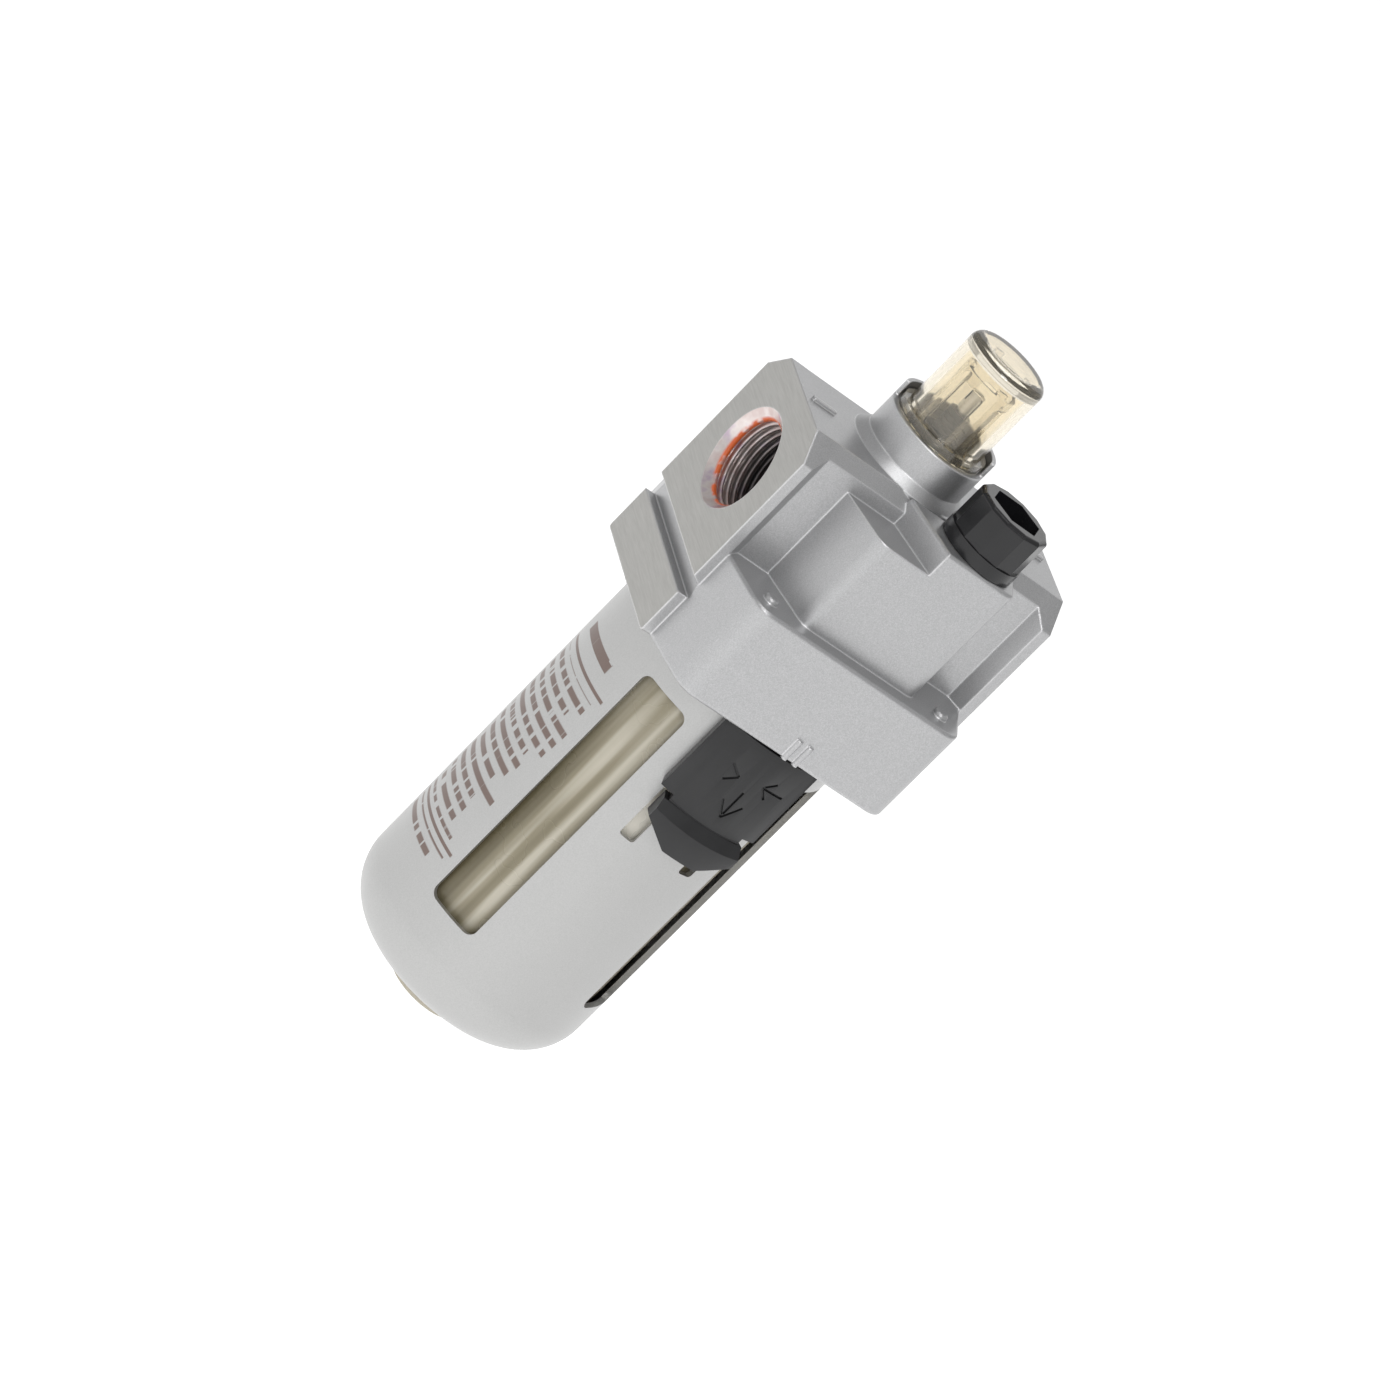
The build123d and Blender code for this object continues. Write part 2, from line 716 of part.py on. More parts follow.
with BuildPart() as flow_damper:
    with BuildSketch(Plane.YZ.offset(hinge_x - damper_thickness / 2)):
        with Locations((0, -damper_seat_offset)):
            Circle(damper_radius)
        with Locations((0, damper_hinge_z - damper_tab_drop)):
            Rectangle(
                4 * damper_radius,
                2 * damper_radius,
                align=(Align.CENTER, Align.MIN),
                mode=Mode.SUBTRACT,
            )
        with Locations((0, damper_hinge_z)):
            Rectangle(2 * damper_knuckle_half, damper_tab_height, align=(Align.CENTER, Align.MAX))
    extrude(amount=damper_thickness)
    with Locations((hinge_x, 0, damper_hinge_z)):
        Cylinder(damper_knuckle, 2 * damper_knuckle_half, rotation=(90, 0, 0))
        Cylinder(
            damper_pin_radius + running_gap,
            4 * damper_knuckle_half,
            rotation=(90, 0, 0),
            mode=Mode.SUBTRACT,
        )

export(flow_damper.part, "flow_damper")

# ---------------------------------------------------------------- air check valve
air_chamber_floor = socket_roof + air_valve_wall
air_ball_z = air_chamber_floor + air_ball_radius + seat_gap
with BuildPart() as air_check_seat:
    with Locations((air_valve_x, 0, socket_roof)):
        Cylinder(air_valve_radius, air_seat_top - socket_roof, align=(Align.CENTER, Align.CENTER, Align.MIN))
        Cylinder(
            air_valve_bore,
            2 * (air_seat_top - socket_roof),
            align=(Align.CENTER, Align.CENTER, Align.MIN),
            mode=Mode.SUBTRACT,
        )
    with Locations((air_valve_x, 0, air_chamber_floor)):
        Cylinder(
            air_ball_radius + free_gap,
            2 * air_ball_radius + 2 * seat_gap + air_ball_lift,
            align=(Align.CENTER, Align.CENTER, Align.MIN),
            mode=Mode.SUBTRACT,
        )

export(air_check_seat.part, "air_check_seat")

with BuildPart() as air_check_ball:
    with Locations((air_valve_x, 0, air_ball_z)):
        Sphere(air_ball_radius)

export(air_check_ball.part, "air_check_ball")

# ---------------------------------------------------------------- oil check valve and suction tube
oil_chamber_floor = oil_valve_bottom + oil_chamber_drop
oil_ball_z = oil_chamber_floor + oil_ball_radius + seat_gap
with BuildPart() as oil_check_valve:
    with Locations((oil_valve_x, oil_valve_y, socket_roof)):
        Cylinder(oil_valve_radius, oil_valve_length, align=(Align.CENTER, Align.CENTER, Align.MAX))
        Cylinder(
            riser_radius,
            2 * oil_valve_length,
            align=(Align.CENTER, Align.CENTER, Align.MAX),
            mode=Mode.SUBTRACT,
        )
    with Locations((oil_valve_x, oil_valve_y, oil_chamber_floor)):
        Cylinder(
            oil_chamber_radius,
            2 * oil_ball_radius + 2 * seat_gap + oil_ball_lift,
            align=(Align.CENTER, Align.CENTER, Align.MIN),
            mode=Mode.SUBTRACT,
        )
    with Locations((oil_valve_x, oil_valve_y, oil_valve_bottom)):
        Cylinder(
            tube_radius,
            tube_grip,
            align=(Align.CENTER, Align.CENTER, Align.MIN),
            mode=Mode.SUBTRACT,
        )
    valve_rim = oil_check_valve.edges().filter_by(GeomType.CIRCLE).sort_by(SortBy.RADIUS)[-2:]
    fillet(valve_rim.sort_by(Axis.Z)[:1], radius=oil_valve_round)

export(oil_check_valve.part, "oil_check_valve")

with BuildPart() as oil_check_ball:
    with Locations((oil_valve_x, oil_valve_y, oil_ball_z)):
        Sphere(oil_ball_radius)

export(oil_check_ball.part, "oil_check_ball")

with BuildPart() as suction_tube:
    with BuildSketch(Plane.XY.offset(tube_bottom)):
        with Locations((oil_valve_x, oil_valve_y)):
            Circle(tube_radius)
            Circle(tube_bore, mode=Mode.SUBTRACT)
    extrude(amount=oil_valve_bottom + tube_grip - tube_bottom)

export(suction_tube.part, "suction_tube")

strainer_top = tube_bottom + strainer_grip
with BuildPart() as suction_strainer:
    with Locations((oil_valve_x, oil_valve_y, strainer_top)):
        Cylinder(strainer_radius, strainer_height, align=(Align.CENTER, Align.CENTER, Align.MAX))
        Cylinder(
            tube_radius,
            strainer_grip,
            align=(Align.CENTER, Align.CENTER, Align.MAX),
            mode=Mode.SUBTRACT,
        )
    with Locations((oil_valve_x, oil_valve_y, tube_bottom)):
        Cylinder(
            strainer_radius - strainer_wall,
            strainer_height,
            align=(Align.CENTER, Align.CENTER, Align.MAX),
            mode=Mode.SUBTRACT,
        )
    fillet(suction_strainer.faces().sort_by(Axis.Z)[-1].outer_wire().edges(), radius=strainer_round)
    with Locations((oil_valve_x, oil_valve_y, tube_bottom - strainer_slot_drop)):
        with PolarLocations(strainer_radius, strainer_slots):
            Box(2 * strainer_slot_depth, strainer_slot_width, strainer_slot_height, mode=Mode.SUBTRACT)

export(suction_strainer.part, "suction_strainer")

# ---------------------------------------------------------------- sight dome group
with BuildPart() as drip_nozzle:
    with Locations((dome_x, 0, holder_bottom)):
        Cylinder(
            nozzle_radius,
            holder_bottom - passage_radius + nozzle_drop,
            align=(Align.CENTER, Align.CENTER, Align.MAX),
        )
        Cylinder(drip_bore, 4 * well_floor, mode=Mode.SUBTRACT)
    chamfer(drip_nozzle.faces().sort_by(Axis.Z)[0].outer_wire().edges(), length=nozzle_chamfer)

export(drip_nozzle.part, "drip_nozzle")

dome_skirt_bottom = collar_floor + dome_floor_gap
dome_inner = dome_radius - dome_wall
flange_z = collar_rim + seat_gap
seal_centre_z = flange_z - dome_seal_section - dome_seal_drop
seal_centre_radius = collar_bore - running_gap - dome_seal_section
with BuildPart() as sight_dome:
    with BuildSketch(Plane.XZ):
        with BuildLine():
            Polyline(
                (dome_x, dome_height),
                (dome_x + dome_radius, dome_height),
                (dome_x + dome_radius, flange_z + dome_flange_height),
                (dome_x + dome_flange_radius, flange_z + dome_flange_height),
                (dome_x + dome_flange_radius, flange_z),
                (dome_x + dome_skirt_radius, flange_z),
                (dome_x + dome_skirt_radius, dome_skirt_bottom),
                (dome_x + dome_inner, dome_skirt_bottom),
                (dome_x + dome_inner, dome_height - dome_top_wall),
                (dome_x, dome_height - dome_top_wall),
                close=True,
            )
        make_face()
    revolve(axis=Axis((dome_x, 0, 0), (0, 0, 1)))
    fillet(sight_dome.faces().sort_by(Axis.Z)[-1].outer_wire().edges(), radius=dome_edge_round)
    with BuildSketch(Plane.XZ):
        with Locations((dome_x + seal_centre_radius, seal_centre_z)):
            Rectangle(2 * dome_seal_section, 2 * dome_seal_section)
            Rectangle(2 * dome_seal_section, 2 * dome_seal_section, align=(Align.MIN, Align.CENTER))
    revolve(axis=Axis((dome_x, 0, 0), (0, 0, 1)), mode=Mode.SUBTRACT)

export(sight_dome.part, "sight_dome")

with BuildPart() as dome_seal:
    with BuildSketch(Plane.XZ):
        with Locations((dome_x + seal_centre_radius, seal_centre_z)):
            Circle(dome_seal_section)
    revolve(axis=Axis((dome_x, 0, 0), (0, 0, 1)))

export(dome_seal.part, "dome_seal")

with BuildPart() as drip_cup:
    cup_foot = well_floor + cup_floor_gap
    with Locations((dome_x, 0, cup_foot)):
        Cylinder(
            well_radius,
            collar_floor + cup_overlap - cup_foot,
            align=(Align.CENTER, Align.CENTER, Align.MIN),
        )
        Cylinder(
            cup_radius - cup_wall,
            cup_top,
            align=(Align.CENTER, Align.CENTER, Align.MIN),
            mode=Mode.SUBTRACT,
        )
    with BuildSketch(Plane.XY.offset(collar_floor)):
        with Locations((dome_x, 0)):
            Circle(cup_radius)
            Circle(cup_radius - cup_wall, mode=Mode.SUBTRACT)
    extrude(amount=cup_top - collar_floor)
    for angle in (45, 135):
        window_centre = (dome_x, 0, (cup_window_low + cup_window_high) / 2)
        with BuildSketch(Plane(window_centre, x_dir=(0, 0, 1), z_dir=(*turned(angle, 1), 0))):
            RectangleRounded(cup_window_high - cup_window_low, cup_window_width, cup_window_round)
        extrude(amount=2 * cup_radius, both=True, mode=Mode.SUBTRACT)
    with Locations((dome_x, 0, cup_top)):
        with PolarLocations(cup_radius - cup_wall / 2, 4):
            Box(cup_wall, cup_lug_width, cup_lug, align=(Align.CENTER, Align.CENTER, Align.MIN))

export(drip_cup.part, "drip_cup")

with BuildPart() as needle_holder:
    with BuildSketch(Plane.XY.offset(holder_bottom)):
        with Locations((dome_x, 0)):
            Circle(cup_radius - cup_wall)
            with PolarLocations(holder_hole_circle, holder_hole_count, start_angle=45):
                Circle(holder_hole_radius, mode=Mode.SUBTRACT)
    extrude(amount=holder_flange)
    with Locations((dome_x, 0, holder_top)):
        Cylinder(
            holder_radius,
            holder_top - holder_bottom - holder_flange,
            align=(Align.CENTER, Align.CENTER, Align.MAX),
        )
    for step in range(holder_grooves):
        with BuildSketch(Plane.XZ):
            groove_height = holder_top - holder_first_groove - step * holder_groove_pitch
            with Locations((dome_x + holder_radius, groove_height)):
                Rectangle(2 * holder_groove_depth, holder_groove_width)
        revolve(axis=Axis((dome_x, 0, 0), (0, 0, 1)), mode=Mode.SUBTRACT)
    with Locations((dome_x, 0, holder_top)):
        Cylinder(needle_radius + running_gap, 4 * holder_top, mode=Mode.SUBTRACT)

export(needle_holder.part, "needle_holder")

needle_tip = holder_bottom + needle_tip_gap
needle_head_bottom = holder_top + needle_head_gap
with BuildPart() as needle_screw:
    with Locations((dome_x, 0, needle_tip)):
        Cylinder(
            needle_radius,
            needle_head_bottom - needle_tip,
            align=(Align.CENTER, Align.CENTER, Align.MIN),
        )
    with Locations((dome_x, 0, needle_top)):
        Cylinder(
            needle_head_radius,
            needle_top - needle_head_bottom,
            align=(Align.CENTER, Align.CENTER, Align.MAX),
        )
        Box(3 * needle_head_radius, needle_slot_width, 2 * needle_slot_depth, mode=Mode.SUBTRACT)
    chamfer(needle_screw.faces().sort_by(Axis.Z)[0].edges(), length=needle_point)

export(needle_screw.part, "needle_screw")

# ---------------------------------------------------------------- filling plug
plug_seat_z = port_top + seat_gap
plug_seal_z = plug_seat_z - plug_seal_section - plug_seal_drop
plug_seal_radius = plug_shank_radius - plug_seal_section
with BuildPart() as fill_plug:
    with Locations((plug_x, plug_y, plug_seat_z)):
        Cylinder(plug_shank_radius, plug_shank_length, align=(Align.CENTER, Align.CENTER, Align.MAX))
        Cylinder(plug_flange_radius, plug_flange_height, align=(Align.CENTER, Align.CENTER, Align.MIN))
    with BuildSketch(Plane.XY.offset(plug_seat_z + plug_flange_height)):
        with Locations((plug_x, plug_y)):
            RegularPolygon(plug_head_radius, plug_facets)
    extrude(amount=plug_head_top - plug_seat_z - plug_flange_height)
    top_face = fill_plug.faces().sort_by(Axis.Z)[-1]
    fillet(top_face.outer_wire().edges(), radius=plug_edge_round)
    with BuildSketch(Plane.XY.offset(plug_head_top)):
        with Locations((plug_x, plug_y)):
            RegularPolygon(plug_socket_flats / 2, 6, major_radius=False)
    extrude(amount=-plug_socket_depth, mode=Mode.SUBTRACT)
    with BuildSketch(Plane.XZ.offset(-plug_y)):
        with Locations((plug_x + plug_seal_radius, plug_seal_z)):
            Rectangle(2 * plug_seal_section, 2 * plug_seal_section)
    revolve(axis=Axis((plug_x, plug_y, 0), (0, 0, 1)), mode=Mode.SUBTRACT)

export(fill_plug.part, "fill_plug")

with BuildPart() as fill_plug_seal:
    with BuildSketch(Plane.XZ.offset(-plug_y)):
        with Locations((plug_x + plug_seal_radius, plug_seal_z)):
            Circle(plug_seal_section - plug_seal_slack)
    revolve(axis=Axis((plug_x, plug_y, 0), (0, 0, 1)))

export(fill_plug_seal.part, "fill_plug_seal")

# ---------------------------------------------------------------- bowl
bowl_bottom_outer = guard_bottom + guard_wall
inner_corner = guard_corner - guard_wall - (guard_inner - bowl_radius)
bowl_floor = bowl_bottom_outer + bowl_floor_wall
bowl_cone_top = bowl_shoulder_z - bowl_shoulder_drop
with BuildPart() as bowl:
    with BuildSketch(Plane.XZ):
        with BuildLine():
            Line((0, bowl_bottom), (nub_radius, bowl_bottom))
            Line((nub_radius, bowl_bottom), (nub_radius, bowl_bottom_outer))
            Line((nub_radius, bowl_bottom_outer), (bowl_radius - inner_corner, bowl_bottom_outer))
            RadiusArc(
                (bowl_radius - inner_corner, bowl_bottom_outer),
                (bowl_radius, bowl_bottom_outer + inner_corner),
                -inner_corner,
            )
            Polyline(
                (bowl_radius, bowl_bottom_outer + inner_corner),
                (bowl_radius, bowl_shoulder_z),
                (bowl_neck_radius, bowl_shoulder_z),
                (bowl_neck_radius, bowl_top),
                (bowl_neck_inner, bowl_top),
                (bowl_neck_inner, bowl_cone_top),
                (bowl_inner, bowl_cone_top - bowl_cone_height),
                (bowl_inner, bowl_floor + inner_corner),
            )
            RadiusArc(
                (bowl_inner, bowl_floor + inner_corner),
                (bowl_inner - inner_corner, bowl_floor),
                inner_corner,
            )
            Line((bowl_inner - inner_corner, bowl_floor), (0, bowl_floor))
            Line((0, bowl_floor), (0, bowl_bottom))
        make_face()
    revolve(axis=Axis.Z)
    with BuildSketch(Plane.XZ):
        with Locations((seal_ring_radius, seal_z)):
            Rectangle(2 * seal_section, 2 * seal_section)
            Rectangle(2 * seal_section, 2 * seal_section, align=(Align.MIN, Align.CENTER))
    revolve(axis=Axis.Z, mode=Mode.SUBTRACT)

export(bowl.part, "bowl")

with BuildPart() as bowl_seal:
    with BuildSketch(Plane.XZ):
        with Locations((seal_ring_radius, seal_z)):
            Circle(seal_section)
    revolve(axis=Axis.Z)

export(bowl_seal.part, "bowl_seal")

with BuildPart() as bowl_retaining_ring:
    with BuildSketch(Plane.XY.offset(bowl_shoulder_z)):
        Circle(guard_inner)
        Circle(bowl_neck_radius, mode=Mode.SUBTRACT)
    extrude(amount=ring_height)

export(bowl_retaining_ring.part, "bowl_retaining_ring")

# ---------------------------------------------------------------- bowl guard
with BuildPart() as bowl_guard:
    with BuildSketch(Plane.XZ):
        with BuildLine():
            Line((guard_hole_radius, guard_bottom), (guard_radius - guard_corner, guard_bottom))
            RadiusArc(
                (guard_radius - guard_corner, guard_bottom),
                (guard_radius, guard_bottom + guard_corner),
                -guard_corner,
            )
            Polyline(
                (guard_radius, guard_bottom + guard_corner),
                (guard_radius, guard_top),
                (guard_inner, guard_top),
                (guard_inner, guard_bottom + guard_corner),
            )
            RadiusArc(
                (guard_inner, guard_bottom + guard_corner),
                (guard_radius - guard_corner, guard_bottom + guard_wall),
                guard_corner - guard_wall,
            )
            Polyline(
                (guard_radius - guard_corner, guard_bottom + guard_wall),
                (guard_hole_radius, guard_bottom + guard_wall),
                (guard_hole_radius, guard_bottom),
            )
        make_face()
    revolve(axis=Axis.Z)
    for step in range(lug_count):
        with BuildSketch(Plane.XY.offset(lug_bottom)):
            ring_sector(guard_inner, lug_radius, 45 + 90 * step, lug_angle)
        extrude(amount=lug_height)
    for step in range(window_count):
        window_plane = Plane((0, 0, window_middle), x_dir=(0, 0, 1), z_dir=(*turned(45 + 90 * step, 1), 0))
        with BuildSketch(window_plane):
            RectangleRounded(window_length, window_width, window_round)
        extrude(amount=2 * guard_radius, mode=Mode.SUBTRACT)
    leg_slot_length = leg_slot_top - leg_slot_bottom
    for side in (-1, 1):
        slot_plane = Plane(
            (0, 0, (leg_slot_top + leg_slot_bottom) / 2),
            x_dir=(0, 0, 1),
            z_dir=(*turned(side * leg_slot_angle, 1), 0),
        )
        with BuildSketch(slot_plane):
            RectangleRounded(leg_slot_length, leg_slot_width, leg_slot_round)
        extrude(amount=2 * guard_radius, mode=Mode.SUBTRACT)
    pin_slot_width = 2 * guide_pin_radius + 2 * free_gap
    with BuildSketch(Plane.XZ):
        with Locations((0, pin_slot_z - button_travel / 2)):
            SlotOverall(button_travel + pin_slot_width, pin_slot_width, rotation=90)
    extrude(amount=2 * guard_radius, mode=Mode.SUBTRACT)
    with Locations((0, -guard_inner, peg_top)):
        Box(
            2 * peg_half_width,
            peg_reach - guard_inner,
            peg_height,
            align=(Align.CENTER, Align.MAX, Align.MAX),
        )

export(bowl_guard.part, "bowl_guard")

# ---------------------------------------------------------------- lock button
clip_face = guard_inner - seat_gap - clip_thickness
with BuildPart() as lock_button:
    with BuildSketch(Plane.XY.offset(button_shoulder_z)):
        ring_sector(button_inner, button_outer, 0, 2 * button_half_angle)
    extrude(amount=button_top_z - button_shoulder_z)
    with BuildSketch(Plane.XY.offset(button_bottom_z)):
        ring_sector(button_inner, tab_outer, 0, 2 * tab_half_angle)
    extrude(amount=ledge_z - button_bottom_z)
    with BuildSketch(Plane.XY.offset(ledge_z)):
        ring_sector(button_inner, button_outer, 0, 2 * tab_half_angle - 2 * tab_neck_angle)
    extrude(amount=button_shoulder_z - ledge_z)
    # foot of the tab: both lower corners cut
    tab_x = tab_outer * sin(radians(tab_half_angle))
    foot_x = tab_outer * sin(radians(tab_foot_angle))
    for side in (-1, 1):
        with BuildSketch(Plane.XZ):
            with BuildLine():
                Polyline(
                    (side * foot_x, button_bottom_z),
                    (side * (tab_x + root_overlap), tab_corner_z + tab_foot_rise),
                    (side * (tab_x + root_overlap), button_bottom_z - root_overlap),
                    (side * foot_x, button_bottom_z - root_overlap),
                    close=True,
                )
            make_face()
        extrude(amount=2 * tab_outer, mode=Mode.SUBTRACT)
    # pocket of the spring
    with BuildSketch(Plane.XY.offset(button_bottom_z - root_overlap)):
        with Locations((0, -button_outer)):
            Rectangle(2 * pocket_half_width, guard_radius, align=(Align.CENTER, Align.MIN))
    extrude(amount=pocket_top - button_bottom_z + root_overlap, mode=Mode.SUBTRACT)
    # tongue that enters the skirt
    with BuildSketch(Plane.XY.offset(button_top_z)):
        ring_sector(button_inner, tongue_outer, 0, 2 * tongue_half_angle)
    extrude(amount=tongue_height)
    # guide pin through the slot of the guard
    with BuildSketch(Plane.XZ.offset(clip_face)):
        with Locations((0, pin_slot_z)):
            Circle(guide_pin_radius)
    extrude(amount=button_inner + root_overlap - clip_face)

export(lock_button.part, "lock_button")

with BuildPart() as button_clip:
    with BuildSketch(Plane.XZ.offset(clip_face)):
        with Locations((0, pin_slot_z)):
            Circle(clip_radius)
            Circle(guide_pin_radius, mode=Mode.SUBTRACT)
    extrude(amount=clip_thickness)

export(button_clip.part, "button_clip")

spring_y = -(button_inner + button_outer) / 2
spring_length = pocket_top - peg_top - 2 * spring_wire
with BuildPart() as lock_spring:
    with BuildLine() as coil:
        Helix(
            pitch=spring_length / spring_turns,
            height=spring_length,
            radius=spring_radius,
            center=(0, spring_y, peg_top + spring_wire),
        )
    with BuildSketch(Plane(origin=coil.line @ 0, z_dir=coil.line % 0)):
        Circle(spring_wire)
    sweep()

export(lock_spring.part, "lock_spring")
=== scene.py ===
"""Looks of the modular air line lubricator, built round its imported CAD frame.

The frame is that of the CAD model: +X is the flow direction, -Y is the front with the lock
button, +Z is up. Blender works in metres; places on the pieces are written in millimetres,
and MM turns them into metres. Angles round the Z axis are in degrees from the front,
positive towards +X.
"""

import json
from math import cos, pi, radians, sin

import bmesh
import bpy
from mathutils import Matrix, Vector


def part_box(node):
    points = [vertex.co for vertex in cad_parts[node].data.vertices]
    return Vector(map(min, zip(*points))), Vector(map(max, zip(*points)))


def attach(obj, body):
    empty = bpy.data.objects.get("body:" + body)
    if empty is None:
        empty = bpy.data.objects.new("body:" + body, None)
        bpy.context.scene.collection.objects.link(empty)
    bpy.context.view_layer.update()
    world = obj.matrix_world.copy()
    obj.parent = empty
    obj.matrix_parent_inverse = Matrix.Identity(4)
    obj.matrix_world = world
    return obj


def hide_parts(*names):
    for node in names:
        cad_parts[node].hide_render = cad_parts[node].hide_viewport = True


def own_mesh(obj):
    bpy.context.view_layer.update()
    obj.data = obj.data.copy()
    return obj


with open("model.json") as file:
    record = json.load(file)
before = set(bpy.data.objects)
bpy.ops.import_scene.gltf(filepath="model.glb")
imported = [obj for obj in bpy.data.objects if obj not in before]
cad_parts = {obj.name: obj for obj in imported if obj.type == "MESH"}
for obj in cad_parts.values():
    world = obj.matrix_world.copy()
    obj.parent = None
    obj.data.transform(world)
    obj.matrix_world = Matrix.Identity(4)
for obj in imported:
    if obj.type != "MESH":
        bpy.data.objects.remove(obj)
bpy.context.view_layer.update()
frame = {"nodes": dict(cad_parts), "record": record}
nodes = frame["nodes"]
MM = 0.001


# ---------------------------------------------------------------- node helpers
class Shader:
    """One procedural material: a principled shader and short calls that add nodes to it."""

    def __init__(self, name, color, roughness, metallic=0.0, **sockets):
        self.material = bpy.data.materials.new(name)
        self.material.use_nodes = True
        self.tree = self.material.node_tree
        self.principled = self.tree.nodes["Principled BSDF"]
        self.principled.inputs["Base Color"].default_value = (*color, 1.0)
        self.principled.inputs["Roughness"].default_value = roughness
        self.principled.inputs["Metallic"].default_value = metallic
        for socket, value in sockets.items():
            self.principled.inputs[socket.replace("_", " ")].default_value = value
        self.coordinates = self.tree.nodes.new("ShaderNodeTexCoord").outputs["Object"]

    def link(self, source, target):
        self.tree.links.new(source, target)

    def put(self, socket, source):
        self.link(source, self.principled.inputs[socket])

    def math(self, operation, first, second=0.0, third=0.0):
        node = self.tree.nodes.new("ShaderNodeMath")
        node.operation = operation
        for index, value in enumerate((first, second, third)):
            if isinstance(value, (int, float)):
                node.inputs[index].default_value = value
            else:
                self.link(value, node.inputs[index])
        return node.outputs[0]

    def times(self, first, *others):
        """The product of two or more values."""
        for value in others:
            first = self.math("MULTIPLY", first, value)
        return first

    def opposite(self, mask):
        """1 where the mask is 0, and 0 where it is 1."""
        return self.math("SUBTRACT", 1.0, mask)

    def vary(self, value, amount, base):
        """A base value plus an amount times another value."""
        return self.math("MULTIPLY_ADD", value, amount, base)

    def distance(self, first, second):
        """How far a point is from an axis, from its two coordinates across the axis."""
        return self.math("SQRT", self.math("ADD", self.times(first, first), self.times(second, second)))

    def axis(self, letter):
        """One object coordinate, in millimetres."""
        node = self.tree.nodes.new("ShaderNodeSeparateXYZ")
        self.link(self.coordinates, node.inputs[0])
        return self.math("DIVIDE", node.outputs[letter], MM)

    def noise(self, size_mm, detail=3.0, stretch=(1.0, 1.0, 1.0)):
        mapping = self.tree.nodes.new("ShaderNodeMapping")
        mapping.inputs["Scale"].default_value = tuple(s / (size_mm * MM) for s in stretch)
        self.link(self.coordinates, mapping.inputs["Vector"])
        node = self.tree.nodes.new("ShaderNodeTexNoise")
        node.inputs["Scale"].default_value = 1.0
        node.inputs["Detail"].default_value = detail
        self.link(mapping.outputs[0], node.inputs["Vector"])
        return node.outputs["Fac"]

    def ramp(self, source, stops):
        """Colours along a value, from stops of (position, colour)."""
        node = self.tree.nodes.new("ShaderNodeValToRGB")
        elements = node.color_ramp.elements
        while len(elements) < len(stops):
            elements.new(0.5)
        for element, (position, color) in zip(elements, stops):
            element.position = position
            element.color = (*color, 1.0)
        self.link(source, node.inputs[0])
        return node.outputs[0]

    def mix(self, factor, first, second):
        """The first colour where the factor is 0 and the second where it is 1."""
        node = self.tree.nodes.new("ShaderNodeMix")
        node.data_type = "RGBA"
        self.link(factor, node.inputs[0])
        for index, value in ((6, first), (7, second)):
            if isinstance(value, tuple):
                node.inputs[index].default_value = (*value, 1.0)
            else:
                self.link(value, node.inputs[index])
        return node.outputs[2]

    def step(self, value, place, edge=0.02):
        """0 below a place and 1 above it, with a soft edge."""
        node = self.tree.nodes.new("ShaderNodeMapRange")
        node.inputs["From Min"].default_value = place - edge
        node.inputs["From Max"].default_value = place + edge
        self.link(value, node.inputs["Value"])
        return node.outputs[0]

    def between(self, value, low, high, edge=0.02):
        """1 inside the interval and 0 outside it, with soft edges."""
        return self.math("SUBTRACT", self.step(value, low, edge), self.step(value, high, edge))

    def soft_edges(self, radius_mm):
        """Round the shading of sharp edges and return how much each point was turned."""
        round_normal = self.tree.nodes.new("ShaderNodeBevel")
        round_normal.samples = 6
        round_normal.inputs["Radius"].default_value = radius_mm * MM
        self.put("Normal", round_normal.outputs[0])
        flat = self.tree.nodes.new("ShaderNodeNewGeometry")
        match = self.tree.nodes.new("ShaderNodeVectorMath")
        match.operation = "DOT_PRODUCT"
        self.link(round_normal.outputs[0], match.inputs[0])
        self.link(flat.outputs["Normal"], match.inputs[1])
        return self.opposite(match.outputs["Value"])

    def bump(self, height, distance_mm, strength):
        """Add a bump on top of the normal that the shader has so far."""
        node = self.tree.nodes.new("ShaderNodeBump")
        node.inputs["Strength"].default_value = strength
        node.inputs["Distance"].default_value = distance_mm * MM
        self.link(height, node.inputs["Height"])
        previous = self.principled.inputs["Normal"].links
        if previous:
            self.link(previous[0].from_socket, node.inputs["Normal"])
        self.put("Normal", node.outputs[0])


# ---------------------------------------------------------------- cast head
PORT_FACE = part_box("head_body")[1].x / MM      # from the middle to a machined port face
PORT_MOUTH = 8.92                              # radius just outside the countersink
PORT_END = 14.0                                # inner end of the machined bore
BORE_SHADE_DEPTH = 20.5                               # painted shade: further in than this the bore is darker
SEALANT_OUTER, SEALANT_INNER = -25.4, -24.1    # old sealant round the mouth of the left port
PAINT_METALLIC = 0.75
# near-white colour of the painted highlight along the rounded edges of the paint
EDGE_HIGHLIGHT_PAINT = (0.86, 0.86, 0.87)
SEALANT_RED = (0.66, 0.13, 0.035)
# dark colour painted deep in the bores as painted shade
BORE_SHADE_COLOR = (0.16, 0.15, 0.15)


def port_bore(s, x, reach):
    """Colour of the threaded bores, with painted shade deep inside, and the mask of the sealant in
    them.
    """
    metal = s.ramp(s.noise(2.6, 2.0), [
        (0.35, (0.62, 0.52, 0.50)),
        (0.55, (0.74, 0.68, 0.66)),
        (0.7, (0.60, 0.50, 0.58)),
    ])
    # Painted shade: deep in the bore the metal turns dark.
    metal = s.mix(s.step(reach, BORE_SHADE_DEPTH, 2.0), BORE_SHADE_COLOR, metal)
    patches = s.step(s.noise(2.2, 2.0), 0.40, 0.08)
    sealant = s.times(s.between(x, SEALANT_OUTER, SEALANT_INNER, 0.15), patches)
    return s.mix(sealant, metal, SEALANT_RED), sealant


